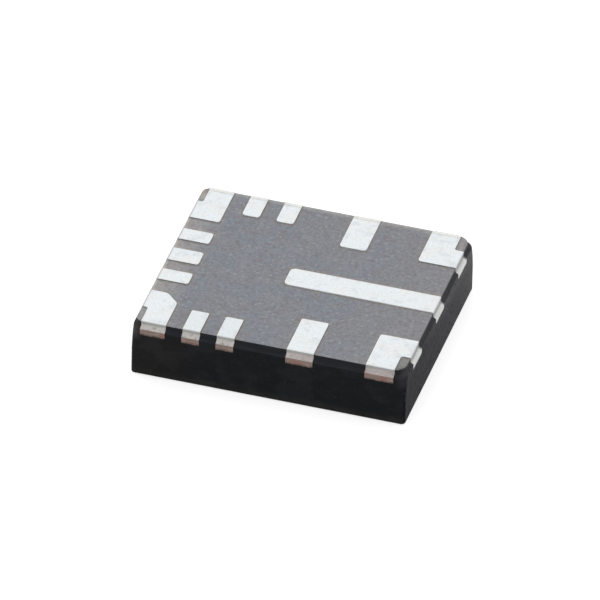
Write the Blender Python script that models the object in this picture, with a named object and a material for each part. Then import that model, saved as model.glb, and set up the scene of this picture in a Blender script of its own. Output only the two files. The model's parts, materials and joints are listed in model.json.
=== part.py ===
"""Flip-chip converter chip in a flat leadless package with step-cut flanks, lying pads up.

The chip is 4 mm long, with fourteen leads. Frame: +Z up, out of the soldering pads; +X along
the long side, towards the end where the long centre lead leaves the package; origin at the
middle of the flat back face on which the chip lies. Lengths are in metres, written as
millimetres times e-3.
"""

import math
from collections import namedtuple

import bpy
import bmesh

# Package block: what the saw leaves of the moulded strip
BODY_LENGTH = 4.00e-3
BODY_WIDTH = 3.42e-3
BODY_HEIGHT = 0.88e-3
FRONT_STEP_WIDTH = 0.060e-3  # ledges that the first, wider blade leaves round the pad face,
BACK_STEP_WIDTH = 0.035e-3  # uneven because the second blade ran off the middle of its cut
KEY_END_STEP_WIDTH = 0.035e-3
BAR_END_STEP_WIDTH = 0.044e-3
STEP_DEPTH = 0.075e-3  # from the pad face down to the inner side of the ledge
STEP_FALL = 0.030e-3  # from there down to its outer side: a worn blade leaves it sloping
KEY_END_HEAD_RADIUS = 0.120e-3  # upright corners above the ledge
BAR_END_HEAD_RADIUS = 0.180e-3
BODY_CORNER_RADIUS = 0.060e-3
LEDGE_CORNER_RADIUS = 0.160e-3  # upright corners of the foot are broken off at the ledge
WORN_CORNERS = (  # depth below the ledge, radius there; below the last BODY_CORNER_RADIUS
    (0.040e-3, 0.140e-3),
    (0.090e-3, 0.115e-3),
    (0.180e-3, 0.090e-3),
)
WORN_DEPTH = 0.360e-3
PAD_STANDOFF = 0.012e-3  # how far the pads stand out of the moulded face

# Leadframe
LEAD_THICKNESS = 0.205e-3
FINGER_THICKNESS = 0.080e-3  # half-etched ends that run under the die, on its side of the frame
LEAD_PITCH = 0.50e-3
SIGNAL_PAD_WIDTH = 0.256e-3
MIDDLE_PAD_WIDTH = 0.293e-3
SIDE_PAD_LENGTH = 0.500e-3  # from the sawn end of the body to the inner end of the pad
ROW_PAD_LENGTH = 0.519e-3
ROW_START_INSET = 0.862e-3  # from the key end to the middle of the first small lead of a row
POWER_PAD_INSET = 1.552e-3  # from the other end to the middle of the wide leads
POWER_PAD_WIDTH = 0.393e-3
POWER_PAD_LENGTH = 0.810e-3
CENTRE_BAR_WIDTH = 0.397e-3
CENTRE_BAR_LENGTH = 2.237e-3
CENTRE_BAR_END_RADIUS = 0.080e-3
KEY_END_PAD_LENGTH = 0.490e-3  # corner pads at the end that has the three side leads
BAR_END_PAD_LENGTH = 0.598e-3  # corner pads at the end where the centre bar leaves
CORNER_LEAD_GAP = 0.282e-3  # between a corner lead and the side lead next to it
KEY_END_NOTCH_LENGTH = 0.130e-3  # notch that keeps a corner pad off the corner of the body
BAR_END_NOTCH_LENGTH = 0.180e-3
CORNER_NOTCH_WIDTH = 0.395e-3
KEY_CHAMFER_LENGTH = 0.200e-3  # cut inner corner that marks lead 1
KEY_CHAMFER_WIDTH = 0.190e-3
PAD_CORNER_RADIUS = 0.045e-3
BACK_PAD_CORNER_RADIUS = 0.050e-3  # the etch has eaten the pads of the back row rounder
FRONT_PAD_CORNER_RADIUS = 0.028e-3
NOTCH_RADIUS = 0.035e-3
FINGER_WIDTH = 0.140e-3
POWER_FINGER_WIDTH = 0.270e-3
FINGER_LIP = 0.045e-3  # metal left round a pillar at the end of a finger
FINGER_CORNER_RADIUS = 0.040e-3

# Die and its bumps
DIE_MARGIN = 0.550e-3  # from the edge of the die to the side of the body, all round
DIE_THICKNESS = 0.200e-3
PILLAR_INSET = 0.120e-3  # from the edge of the die to the middle of the outer bumps
PILLAR_WIDTH = 0.080e-3
PILLAR_HEIGHT = 0.050e-3
POWER_PILLAR_LENGTH = 0.200e-3  # the bumps that carry the current are bars with round ends
POWER_PILLAR_STEP = 0.300e-3
POWER_ROW_STEP = 0.440e-3
CENTRE_PILLAR_COUNT = 5
CENTRE_PILLAR_INSET = 0.160e-3
SOLDER_HEIGHT = 0.020e-3
SOLDER_BULGE = 0.008e-3  # how far a solder cap stands out from its pillar all round

FIT_GAP = 0.002e-3  # between the faces of two pieces, which touch on the real chip
SAW_OVERRUN = 0.10e-3  # length of the leadframe outside the body that the saw takes away

ARC_STEPS = 5  # straight pieces in a rounded corner
ROUND_STEPS = 8  # straight pieces in the round end of a bump

# Heights worked out from the stack: back face at zero, pad face on top
MOULD_TOP_Z = BODY_HEIGHT - PAD_STANDOFF
LEDGE_Z = BODY_HEIGHT - STEP_DEPTH
FOOT_TOP_Z = LEDGE_Z - STEP_FALL
LEAD_BOTTOM_Z = BODY_HEIGHT - LEAD_THICKNESS
SOLDER_TOP_Z = LEAD_BOTTOM_Z - FIT_GAP
SOLDER_BOTTOM_Z = SOLDER_TOP_Z - SOLDER_HEIGHT
PILLAR_TOP_Z = SOLDER_BOTTOM_Z - FIT_GAP
PILLAR_BOTTOM_Z = PILLAR_TOP_Z - PILLAR_HEIGHT
DIE_TOP_Z = PILLAR_BOTTOM_Z - FIT_GAP
DIE_BOTTOM_Z = DIE_TOP_Z - DIE_THICKNESS

# Places worked out in plan
END_X = BODY_LENGTH / 2
SIDE_Y = BODY_WIDTH / 2
OUTSIDE_X = END_X + SAW_OVERRUN
OUTSIDE_Y = SIDE_Y + SAW_OVERRUN
ROW_START_X = ROW_START_INSET - END_X
POWER_PAD_X = END_X - POWER_PAD_INSET
CENTRE_BAR_START_X = END_X - CENTRE_BAR_LENGTH
CORNER_INNER_Y = LEAD_PITCH + SIGNAL_PAD_WIDTH / 2 + CORNER_LEAD_GAP
DIE_LENGTH = BODY_LENGTH - 2 * DIE_MARGIN
DIE_WIDTH = BODY_WIDTH - 2 * DIE_MARGIN
BUMP_X = DIE_LENGTH / 2 - PILLAR_INSET
BUMP_Y = DIE_WIDTH / 2 - PILLAR_INSET
FINGER_REACH = PILLAR_WIDTH / 2 + FINGER_LIP

# Colours as the photograph shows them, linear
TIN_COLOUR = (0.80, 0.81, 0.82, 1.0)
MOULD_COLOUR = (0.055, 0.056, 0.060, 1.0)
SILICON_COLOUR = (0.10, 0.11, 0.13, 1.0)
COPPER_COLOUR = (0.72, 0.36, 0.24, 1.0)
SOLDER_COLOUR = (0.62, 0.63, 0.65, 1.0)

Bump = namedtuple("Bump", "x y length turned")
Lead = namedtuple("Lead", "name pad fingers bumps")


def clear_scene():
    """Take away what a new Blender file holds."""
    for item in list(bpy.data.objects):
        bpy.data.objects.remove(item, do_unlink=True)


def new_collection(name):
    collection = bpy.data.collections.new(name)
    bpy.context.scene.collection.children.link(collection)
    return collection


def new_material(name, colour, roughness, metallic):
    material = bpy.data.materials.new(name)
    material.use_nodes = True
    shader = material.node_tree.nodes["Principled BSDF"]
    shader.inputs["Base Color"].default_value = colour
    shader.inputs["Roughness"].default_value = roughness
    shader.inputs["Metallic"].default_value = metallic
    material.diffuse_color = colour
    return material


def turn_at(corners, index):
    """Which way an outline turns at a corner: positive where it bulges outwards."""
    x0, y0, _ = corners[index - 1]
    x1, y1, _ = corners[index]
    x2, y2, _ = corners[(index + 1) % len(corners)]
    return (x1 - x0) * (y2 - y1) - (y1 - y0) * (x2 - x1)


def unit_vector(start, end):
    length = math.hypot(end[0] - start[0], end[1] - start[1])
    return (end[0] - start[0]) / length, (end[1] - start[1]) / length


def grown(corners, distance):
    """The corners of an outline whose sides have all moved out by the distance."""
    moved = []
    for index, (x, y, radius) in enumerate(corners):
        ax, ay = unit_vector(corners[index - 1], corners[index])
        bx, by = unit_vector(corners[index], corners[(index + 1) % len(corners)])
        share = distance / (1.0 + ax * bx + ay * by)
        outwards = 1.0 if turn_at(corners, index) > 0.0 else -1.0
        new_radius = max(radius + outwards * distance, 0.0) if radius > 0.0 else 0.0
        moved.append((x + (ay + by) * share, y - (ax + bx) * share, new_radius))
    return moved


def rounded(corners):
    """The points of an outline, with an arc at each corner that has a radius."""
    points = []
    for index, (x, y, radius) in enumerate(corners):
        if radius <= 0.0:
            points.append((x, y))
            continue
        ax, ay = unit_vector(corners[index - 1], corners[index])
        bx, by = unit_vector(corners[index], corners[(index + 1) % len(corners)])
        turn = math.atan2(ax * by - ay * bx, ax * bx + ay * by)
        side = math.copysign(1.0, turn)
        setback = radius * math.tan(abs(turn) / 2)
        centre_x = x - ax * setback - side * ay * radius
        centre_y = y - ay * setback + side * ax * radius
        start = math.atan2(-side * ax, side * ay)
        for step in range(ARC_STEPS + 1):
            angle = start + turn * step / ARC_STEPS
            points.append((centre_x + radius * math.cos(angle), centre_y + radius * math.sin(angle)))
    return points


def rectangle(left, bottom, right, top, radii=(0.0, 0.0, 0.0, 0.0)):
    """Corners anticlockwise from the left bottom one, with a radius each."""
    places = ((left, bottom), (right, bottom), (right, top), (left, top))
    return [(x, y, radius) for (x, y), radius in zip(places, radii)]


def centred_rectangle(length, width, radius):
    return rectangle(-length / 2, -width / 2, length / 2, width / 2, (radius,) * 4)


def reflected(corners, x_sign, y_sign):
    """The outline in another quarter of the plan, still anticlockwise."""
    placed = [(x * x_sign, y * y_sign, radius) for x, y, radius in corners]
    return placed if x_sign * y_sign > 0 else placed[::-1]


def row_corner_radius(y_sign):
    return BACK_PAD_CORNER_RADIUS if y_sign > 0 else FRONT_PAD_CORNER_RADIUS


def bump_outline(bump, extra):
    """Points round a bump: a circle, or a bar with round ends, with extra width all round."""
    radius = PILLAR_WIDTH / 2 + extra
    reach = (bump.length - PILLAR_WIDTH) / 2
    points = []
    for end_sign, start in ((1.0, -math.pi / 2), (-1.0, math.pi / 2)):
        for step in range(ROUND_STEPS + 1):
            angle = start + math.pi * step / ROUND_STEPS
            along = end_sign * reach + radius * math.cos(angle)
            across = radius * math.sin(angle)
            points.append((along, across))
    if reach <= 0.0:
        points = points[:ROUND_STEPS] + points[ROUND_STEPS + 1:-1]
    if bump.turned:
        points = [(-across, along) for along, across in points]
    return [(bump.x + x, bump.y + y) for x, y in points]


def loft(name, rings, collection):
    """A solid through stacked outlines with equal counts of points, from the bottom up.

    A ring is its height and its points.
    """
    shape = bmesh.new()
    loops = [[shape.verts.new((x, y, z)) for x, y in points] for z, points in rings]
    shape.faces.new(loops[0][::-1])
    shape.faces.new(loops[-1])
    count = len(loops[0])
    for lower, upper in zip(loops, loops[1:]):
        for index in range(count):
            after = (index + 1) % count
            shape.faces.new((lower[index], lower[after], upper[after], upper[index]))
    mesh = bpy.data.meshes.new(name)
    shape.to_mesh(mesh)
    shape.free()
    solid = bpy.data.objects.new(name, mesh)
    collection.objects.link(solid)
    return solid


def prism(name, points, bottom, top, collection):
    """A solid with upright walls on an outline, between two heights."""
    return loft(name, [(bottom, points), (top, points)], collection)


def as_cutter(item):
    item.hide_render = True
    item.display_type = "WIRE"
    return item


def add_boolean(item, operation, other):
    modifier = item.modifiers.new(operation.lower(), "BOOLEAN")
    modifier.operation = operation
    modifier.solver = "EXACT"
    if isinstance(other, bpy.types.Collection):
        modifier.operand_type = "COLLECTION"
        modifier.collection = other
    else:
        modifier.object = other
    return modifier


def finish(item, material):
    """Give a finished piece its material and smooth its round walls."""
    item.data.materials.clear()
    item.data.materials.append(material)
    item.data.shade_smooth()
    item.data.set_sharp_from_angle(angle=math.radians(30.0))
    return item


def side_lead(name, row, width):
    """One of the three signal leads at the key end, row pitches up from the middle."""
    y = row * LEAD_PITCH
    inner_x = -END_X + SIDE_PAD_LENGTH
    radii = (0.0, PAD_CORNER_RADIUS, PAD_CORNER_RADIUS, 0.0)
    pad = rectangle(-OUTSIDE_X, y - width / 2, inner_x, y + width / 2, radii)
    finger = rectangle(
        (-END_X + inner_x) / 2,
        y - FINGER_WIDTH / 2,
        -BUMP_X + FINGER_REACH,
        y + FINGER_WIDTH / 2,
        (0.0, FINGER_CORNER_RADIUS, FINGER_CORNER_RADIUS, 0.0),
    )
    return Lead(name, pad, [finger], [Bump(-BUMP_X, y, PILLAR_WIDTH, False)])


def row_lead(name, column, y_sign):
    """A small signal lead on a long side, column pitches from the first one at the key end."""
    x = ROW_START_X + column * LEAD_PITCH
    inner_y = SIDE_Y - ROW_PAD_LENGTH
    radii = (row_corner_radius(y_sign), row_corner_radius(y_sign), 0.0, 0.0)
    half = SIGNAL_PAD_WIDTH / 2
    pad = rectangle(x - half, inner_y, x + half, OUTSIDE_Y, radii)
    finger = rectangle(
        x - FINGER_WIDTH / 2,
        BUMP_Y - FINGER_REACH,
        x + FINGER_WIDTH / 2,
        (inner_y + SIDE_Y) / 2,
        (FINGER_CORNER_RADIUS, FINGER_CORNER_RADIUS, 0.0, 0.0),
    )
    bump = Bump(x, y_sign * BUMP_Y, PILLAR_WIDTH, False)
    return Lead(name, reflected(pad, 1, y_sign), [reflected(finger, 1, y_sign)], [bump])


def power_lead(name, y_sign):
    """A wide input lead on a long side, with two bars of copper under it."""
    inner_y = SIDE_Y - POWER_PAD_LENGTH
    half = POWER_PAD_WIDTH / 2
    radii = (row_corner_radius(y_sign), row_corner_radius(y_sign), 0.0, 0.0)
    pad = rectangle(POWER_PAD_X - half, inner_y, POWER_PAD_X + half, OUTSIDE_Y, radii)
    second_y = BUMP_Y - POWER_ROW_STEP
    finger = rectangle(
        POWER_PAD_X - POWER_FINGER_WIDTH / 2,
        second_y - FINGER_REACH,
        POWER_PAD_X + POWER_FINGER_WIDTH / 2,
        (inner_y + SIDE_Y) / 2,
        (FINGER_CORNER_RADIUS, FINGER_CORNER_RADIUS, 0.0, 0.0),
    )
    bumps = [
        Bump(POWER_PAD_X, y_sign * y, POWER_PILLAR_LENGTH, False) for y in (BUMP_Y, second_y)
    ]
    return Lead(name, reflected(pad, 1, y_sign), [reflected(finger, 1, y_sign)], bumps)


def corner_lead(name, x_sign, y_sign, length, notch_length, bump_count, keyed=False):
    """A corner lead: an L round the notch that the mould fills, with a bent finger to the die."""
    inner_x = END_X - length
    inner_y = CORNER_INNER_Y
    notch_x = END_X - notch_length
    notch_y = SIDE_Y - CORNER_NOTCH_WIDTH
    inner = [(inner_x, inner_y, PAD_CORNER_RADIUS)]
    if keyed:
        inner = [
            (inner_x, inner_y + KEY_CHAMFER_WIDTH, PAD_CORNER_RADIUS),
            (inner_x + KEY_CHAMFER_LENGTH, inner_y, PAD_CORNER_RADIUS),
        ]
    pad = inner + [
        (OUTSIDE_X, inner_y, 0.0),
        (OUTSIDE_X, notch_y, 0.0),
        (notch_x, notch_y, NOTCH_RADIUS),
        (notch_x, OUTSIDE_Y, 0.0),
        (inner_x, OUTSIDE_Y, 0.0),
    ]
    bump_length = POWER_PILLAR_LENGTH if bump_count > 1 else PILLAR_WIDTH
    bump_places = [BUMP_X - step * POWER_PILLAR_STEP for step in range(bump_count)]
    knee_x = (inner_x + notch_x) / 2
    knee_y = (inner_y + notch_y) / 2
    finger = rectangle(
        bump_places[-1] - bump_length / 2 - FINGER_LIP,
        BUMP_Y - FINGER_WIDTH / 2,
        knee_x + FINGER_WIDTH / 2,
        BUMP_Y + FINGER_WIDTH / 2,
        (FINGER_CORNER_RADIUS, 0.0, 0.0, FINGER_CORNER_RADIUS),
    )
    knee = rectangle(
        knee_x - FINGER_WIDTH / 2,
        min(knee_y, BUMP_Y) - FINGER_WIDTH / 2,
        knee_x + FINGER_WIDTH / 2,
        max(knee_y, BUMP_Y) + FINGER_WIDTH / 2,
    )
    bumps = [Bump(x_sign * x, y_sign * BUMP_Y, bump_length, False) for x in bump_places]
    fingers = [reflected(outline, x_sign, y_sign) for outline in (finger, knee)]
    return Lead(name, reflected(pad, x_sign, y_sign), fingers, bumps)


def centre_lead(name):
    """The long lead under the middle of the die, at full thickness all the way."""
    half = CENTRE_BAR_WIDTH / 2
    end_radius = CENTRE_BAR_END_RADIUS
    pad = rectangle(
        CENTRE_BAR_START_X, -half, OUTSIDE_X, half, (end_radius, 0.0, 0.0, end_radius)
    )
    first = CENTRE_BAR_START_X + CENTRE_PILLAR_INSET
    spacing = (BUMP_X - first) / (CENTRE_PILLAR_COUNT - 1)
    bumps = [
        Bump(first + step * spacing, 0.0, POWER_PILLAR_LENGTH, True)
        for step in range(CENTRE_PILLAR_COUNT)
    ]
    return Lead(name, pad, [], bumps)


def all_leads():
    """The fourteen leads, clockwise as seen from the pads, from the chamfered corner."""
    key_end = (KEY_END_PAD_LENGTH, KEY_END_NOTCH_LENGTH, 1)
    bar_end = (BAR_END_PAD_LENGTH, BAR_END_NOTCH_LENGTH, 2)
    return [
        corner_lead("lead_01_corner_keyed", -1, -1, *key_end, keyed=True),
        side_lead("lead_02_signal", -1, SIGNAL_PAD_WIDTH),
        side_lead("lead_03_signal", 0, MIDDLE_PAD_WIDTH),
        side_lead("lead_04_signal", 1, SIGNAL_PAD_WIDTH),
        corner_lead("lead_05_corner", -1, 1, *key_end),
        row_lead("lead_06_signal", 0, 1),
        row_lead("lead_07_signal", 1, 1),
        power_lead("lead_08_power", 1),
        corner_lead("lead_09_corner", 1, 1, *bar_end),
        centre_lead("lead_10_centre_bar"),
        corner_lead("lead_11_corner", 1, -1, *bar_end),
        power_lead("lead_12_power", -1),
        row_lead("lead_13_signal", 1, -1),
        row_lead("lead_14_signal", 0, -1),
    ]


def foot_outline(radius):
    return rounded(centred_rectangle(BODY_LENGTH, BODY_WIDTH, radius))


def sawn_block(name, top_z, collection):
    """The block that both cuts of the saw leave: a foot as wide as the body, a narrower head.

    The foot's upright corners are sharp at the back face and broken off at the ledge.
    """
    head = rounded(rectangle(
        KEY_END_STEP_WIDTH - END_X,
        FRONT_STEP_WIDTH - SIDE_Y,
        END_X - BAR_END_STEP_WIDTH,
        SIDE_Y - BACK_STEP_WIDTH,
        (KEY_END_HEAD_RADIUS, BAR_END_HEAD_RADIUS, BAR_END_HEAD_RADIUS, KEY_END_HEAD_RADIUS),
    ))
    rings = [(0.0, foot_outline(BODY_CORNER_RADIUS))]
    rings.append((FOOT_TOP_Z - WORN_DEPTH, foot_outline(BODY_CORNER_RADIUS)))
    for depth, radius in reversed(WORN_CORNERS):
        rings.append((FOOT_TOP_Z - depth, foot_outline(radius)))
    rings.append((FOOT_TOP_Z, foot_outline(LEDGE_CORNER_RADIUS)))
    rings += [(LEDGE_Z, head), (top_z, head)]
    return loft(name, rings, collection)


def make_lead(lead, envelope, parts, cutters, material):
    """Pad and fingers joined, then trimmed to the sawn block as the saw trims them."""
    above = BODY_HEIGHT + SAW_OVERRUN
    item = prism(lead.name, rounded(lead.pad), LEAD_BOTTOM_Z, above, parts)
    for number, finger in enumerate(lead.fingers, 1):
        name = f"{lead.name}_finger_{number}"
        top = LEAD_BOTTOM_Z + FINGER_THICKNESS
        stock = prism(name, rounded(finger), LEAD_BOTTOM_Z, top, cutters)
        add_boolean(item, "UNION", as_cutter(stock))
    add_boolean(item, "INTERSECT", envelope)
    return finish(item, material)


def add_lead_pockets(lead, pockets):
    """The room that a lead takes in the mould, open to the pad face and the side."""
    below = LEAD_BOTTOM_Z - FIT_GAP
    above = BODY_HEIGHT + SAW_OVERRUN
    name = lead.name + "_pocket"
    as_cutter(prism(name, rounded(grown(lead.pad, FIT_GAP)), below, above, pockets))
    for number, finger in enumerate(lead.fingers, 1):
        top = LEAD_BOTTOM_Z + FINGER_THICKNESS + FIT_GAP
        outline = rounded(grown(finger, FIT_GAP))
        as_cutter(prism(f"{name}_{number}", outline, below, top, pockets))


def make_bump(label, bump, parts, pockets, copper, solder):
    """A copper pillar on the die and the solder cap that joins it to its lead."""
    cap_extra = SOLDER_BULGE
    pillar = prism(
        "copper_pillar_" + label, bump_outline(bump, 0.0), PILLAR_BOTTOM_Z, PILLAR_TOP_Z, parts
    )
    finish(pillar, copper)
    cap = prism(
        "solder_cap_" + label, bump_outline(bump, cap_extra), SOLDER_BOTTOM_Z, SOLDER_TOP_Z, parts
    )
    finish(cap, solder)
    pillar_room = bump_outline(bump, FIT_GAP)
    cap_room = bump_outline(bump, cap_extra + FIT_GAP)
    inside_die = DIE_TOP_Z - PILLAR_HEIGHT
    inside_lead = LEAD_BOTTOM_Z + FINGER_THICKNESS / 2
    cap_floor = SOLDER_BOTTOM_Z - FIT_GAP
    as_cutter(prism(f"pillar_{label}_pocket", pillar_room, inside_die, SOLDER_TOP_Z, pockets))
    as_cutter(prism(f"cap_{label}_pocket", cap_room, cap_floor, inside_lead, pockets))


def make_die(parts, pockets, material):
    """The silicon, hanging face up from its bumps, and the room it takes in the mould."""
    outline = centred_rectangle(DIE_LENGTH, DIE_WIDTH, 0.0)
    die = prism("silicon_die", rounded(outline), DIE_BOTTOM_Z, DIE_TOP_Z, parts)
    finish(die, material)
    room = rounded(grown(outline, FIT_GAP))
    low, high = DIE_BOTTOM_Z - FIT_GAP, DIE_TOP_Z + FIT_GAP
    as_cutter(prism("silicon_die_pocket", room, low, high, pockets))


def make_mould(parts, pockets, material):
    """The moulded body: the sawn block less the room of everything cast into it."""
    body = sawn_block("mould_body", MOULD_TOP_Z, parts)
    add_boolean(body, "DIFFERENCE", pockets)
    return finish(body, material)


def build():
    clear_scene()
    parts = new_collection("converter_chip")
    cutters = new_collection("converter_chip_cutters")
    pockets = new_collection("converter_chip_pockets")
    tin = new_material("matte_tin", TIN_COLOUR, 0.45, 1.0)
    mould = new_material("moulding_compound", MOULD_COLOUR, 0.60, 0.0)
    silicon = new_material("silicon", SILICON_COLOUR, 0.25, 0.3)
    copper = new_material("copper", COPPER_COLOUR, 0.40, 1.0)
    solder = new_material("solder", SOLDER_COLOUR, 0.35, 1.0)
    envelope = as_cutter(sawn_block("sawn_block", BODY_HEIGHT, cutters))
    for lead in all_leads():
        make_lead(lead, envelope, parts, cutters, tin)
        add_lead_pockets(lead, pockets)
        number = lead.name.split("_")[1]
        for letter, bump in zip("abcde", lead.bumps):
            make_bump(f"{number}_{letter}", bump, parts, pockets, copper, solder)
    make_die(parts, pockets, silicon)
    make_mould(parts, pockets, mould)
    bpy.context.view_layer.update()


build()
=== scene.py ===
# %% [markdown]
# # A small power chip, pads up
# The chip is a black moulded block, 4 mm long, with fourteen tin-plated copper leads in its
# face. The solid model comes from the imported part, and this file dresses it. The frame is
# loaded first, because each later piece is placed against it.

# %% Load the frame
import bpy
import bmesh
import json
import math
from mathutils import Matrix, Vector

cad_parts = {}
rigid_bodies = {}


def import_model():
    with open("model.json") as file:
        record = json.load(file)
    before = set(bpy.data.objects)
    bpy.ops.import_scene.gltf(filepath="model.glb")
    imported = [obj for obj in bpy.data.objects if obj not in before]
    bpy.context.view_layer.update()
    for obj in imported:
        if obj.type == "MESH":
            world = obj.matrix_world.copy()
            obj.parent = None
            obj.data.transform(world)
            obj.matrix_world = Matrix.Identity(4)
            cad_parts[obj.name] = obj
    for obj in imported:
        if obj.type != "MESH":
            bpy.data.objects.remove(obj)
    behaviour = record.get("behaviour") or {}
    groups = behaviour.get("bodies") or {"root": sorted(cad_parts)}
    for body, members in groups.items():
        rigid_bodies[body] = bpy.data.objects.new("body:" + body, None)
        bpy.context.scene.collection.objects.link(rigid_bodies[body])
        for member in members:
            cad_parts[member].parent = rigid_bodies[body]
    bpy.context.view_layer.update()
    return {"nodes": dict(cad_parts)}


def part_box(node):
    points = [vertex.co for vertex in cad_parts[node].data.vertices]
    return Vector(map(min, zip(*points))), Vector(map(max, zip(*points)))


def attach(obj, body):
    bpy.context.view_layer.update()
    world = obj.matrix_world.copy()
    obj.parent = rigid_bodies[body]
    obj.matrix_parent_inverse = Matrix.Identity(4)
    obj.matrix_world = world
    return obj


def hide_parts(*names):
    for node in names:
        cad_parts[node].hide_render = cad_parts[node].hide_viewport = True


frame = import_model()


# %% [markdown]
# ## Camera
# The photograph was taken with a long lens from the front right, 36 degrees up. The numbers
# come from fitting the block's edges, so they are odd ones. The picture's own right and up
# directions are worked out first, then turned by the small roll of the hand-held camera.

# %% Place the camera
CAMERA_AZIMUTH = math.radians(15.9927)
CAMERA_ELEVATION = math.radians(36.4461)
CAMERA_ROLL = math.radians(-1.2881)
CAMERA_DISTANCE = 0.25
PIXELS_PER_METRE = 71383.5
IMAGE_WIDTH = 600
SENSOR_WIDTH = 36.0
NEAREST, FARTHEST = 0.01, 5.0
PAD_FACE_Z = 0.00088
CENTRE_SHIFT_RIGHT = 0.04885e-3
CENTRE_SHIFT_UP = 0.29873e-3


def camera_axes():
    """The picture's right and up, and the way back from the chip to the camera."""
    flat = math.cos(CAMERA_ELEVATION)
    back = Vector((
        flat * math.sin(CAMERA_AZIMUTH),
        -flat * math.cos(CAMERA_AZIMUTH),
        math.sin(CAMERA_ELEVATION),
    ))
    level = Vector((math.cos(CAMERA_AZIMUTH), math.sin(CAMERA_AZIMUTH), 0.0))
    upright = back.cross(level)
    cosine, sine = math.cos(CAMERA_ROLL), math.sin(CAMERA_ROLL)
    return level * cosine - upright * sine, level * sine + upright * cosine, back


picture_right, picture_up, towards_camera = camera_axes()
look_at = Vector((0.0, 0.0, PAD_FACE_Z))
look_at -= picture_right * CENTRE_SHIFT_RIGHT + picture_up * CENTRE_SHIFT_UP
camera_data = bpy.data.cameras.new("camera")
camera = bpy.data.objects.new("camera", camera_data)
bpy.context.scene.collection.objects.link(camera)
placing = Matrix((picture_right, picture_up, towards_camera)).transposed().to_4x4()
placing.translation = look_at + towards_camera * CAMERA_DISTANCE
camera.matrix_world = placing
camera_data.sensor_width = SENSOR_WIDTH
camera_data.lens = PIXELS_PER_METRE * CAMERA_DISTANCE / IMAGE_WIDTH * SENSOR_WIDTH
camera_data.clip_start, camera_data.clip_end = NEAREST, FARTHEST
bpy.context.scene.camera = camera
print("lens:", round(camera_data.lens, 1), "mm")

# %% [markdown]
# ## Sizes
# The pieces are modelled on a bench where one unit is a millimetre, because Blender's edit
# tools weld and skip things that are smaller than a tenth of a millimetre in metres. These
# sizes are those of the solid model.

# %% Sizes in millimetres
MM = 0.001
BODY_X, BODY_Y = 2.0, 1.71  # half the body; it stands on zero
PAD_Z = 0.88
MOULD_Z = 0.868
LEDGE_Z = 0.805  # inner side of the sawn ledge
FOOT_Z = 0.775  # outer side of the sawn ledge
LEAD_Z = 0.675  # lower side of the leadframe
FINGER_Z = 0.755  # upper side of its half-etched fingers
DIE_X, DIE_Y = 1.45, 1.16
HEAD_LOW = (-1.965, -1.650)
HEAD_HIGH = (1.956, 1.675)
HEAD_RADIUS = {-1: 0.12, 1: 0.18}
FOOT_RADIUS = 0.06
CORNER_RINGS = ((0.415, 0.06), (0.595, 0.09), (0.685, 0.115), (0.735, 0.14), (FOOT_Z, 0.16))
OUT_X, OUT_Y, OUT_Z = 2.1, 1.81, 0.98  # how far uncut stock reaches
FIT_GAP = 0.002
SAWN_EDGE, ETCHED_EDGE = 0.010, 0.011
SAME_PLACE, CLOSE_BY, WELD = 1e-5, 0.001, 0.0002
print("body:", 2 * BODY_X, "by", 2 * BODY_Y, "by", PAD_Z, "mm")

# %% [markdown]
# ## Working by hand
# An operator works on whatever is selected, so the helpers below deselect all first, take one
# piece into edit mode, and select its edges, corners or faces by where they lie. Each helper
# is one thing that a modeller does at the bench.

# %% Select and leave
def rest_hands():
    """Back to object mode with nothing selected."""
    if bpy.context.object and bpy.context.object.mode != "OBJECT":
        bpy.ops.object.mode_set(mode="OBJECT")
    bpy.ops.object.select_all(action="DESELECT")


def take(piece):
    """Make the piece the only one in hand."""
    rest_hands()
    piece.select_set(True)
    bpy.context.view_layer.objects.active = piece


def open_up(piece, kind):
    """Edit mode on a piece, with nothing selected; kind is VERT, EDGE or FACE."""
    take(piece)
    bpy.ops.object.mode_set(mode="EDIT")
    bpy.ops.mesh.select_mode(type=kind)
    bpy.ops.mesh.select_all(action="DESELECT")
    return bmesh.from_edit_mesh(piece.data)


def choose(piece, items, wanted):
    """Select the corners, edges or faces for which wanted is true, and count them."""
    found = [item for item in items if wanted(item)]
    for item in found:
        item.select_set(True)
    bmesh.update_edit_mesh(piece.data)
    return len(found)


print("helpers for selecting are ready")

# %% Blocks and rounded corners
def block(name, low, high):
    """A cube primitive added at its size and place."""
    rest_hands()
    centre = [(a + b) / 2 for a, b in zip(low, high)]
    size = [abs(b - a) for a, b in zip(low, high)]
    bpy.ops.mesh.primitive_cube_add(size=1.0, location=centre, scale=size)
    piece = bpy.context.object
    piece.name = name
    bpy.ops.object.transform_apply(location=True, rotation=True, scale=True)
    return piece


def is_upright(edge):
    """True for an edge that runs straight up."""
    a, b = (vert.co for vert in edge.verts)
    return abs(a.x - b.x) < SAME_PLACE and abs(a.y - b.y) < SAME_PLACE


def round_uprights(piece, radius, at=None, segments=6):
    """Bevel the upright edges, all of them or those whose place in plan passes a test."""
    shape = open_up(piece, "EDGE")
    count = choose(
        piece,
        shape.edges,
        lambda edge: is_upright(edge) and (at is None or at(edge.verts[0].co)),
    )
    if count:
        bpy.ops.mesh.bevel(offset=radius, segments=segments, profile=0.5, affect="EDGES")
    rest_hands()
    return count


def near(x, y, reach=0.004):
    """A test for upright edges that stand at a place in plan."""
    return lambda place: abs(place.x - x) < reach and abs(place.y - y) < reach


def within_body(place):
    """A test for places in plan that the saw leaves standing."""
    return abs(place.x) < BODY_X and abs(place.y) < BODY_Y


def under_die(place):
    """A test for places in plan that the die covers."""
    return abs(place.x) < DIE_X and abs(place.y) < DIE_Y


print("helpers for blocks are ready")

# %% [markdown]
# Blocks are joined and cut with Booleans, which can leave two points on one another where a
# bevel meets a cut. Such points make slivers in the mesh, so they are merged afterwards, and
# the edges that don't have a face on both sides are counted, which should come to none.

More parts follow.
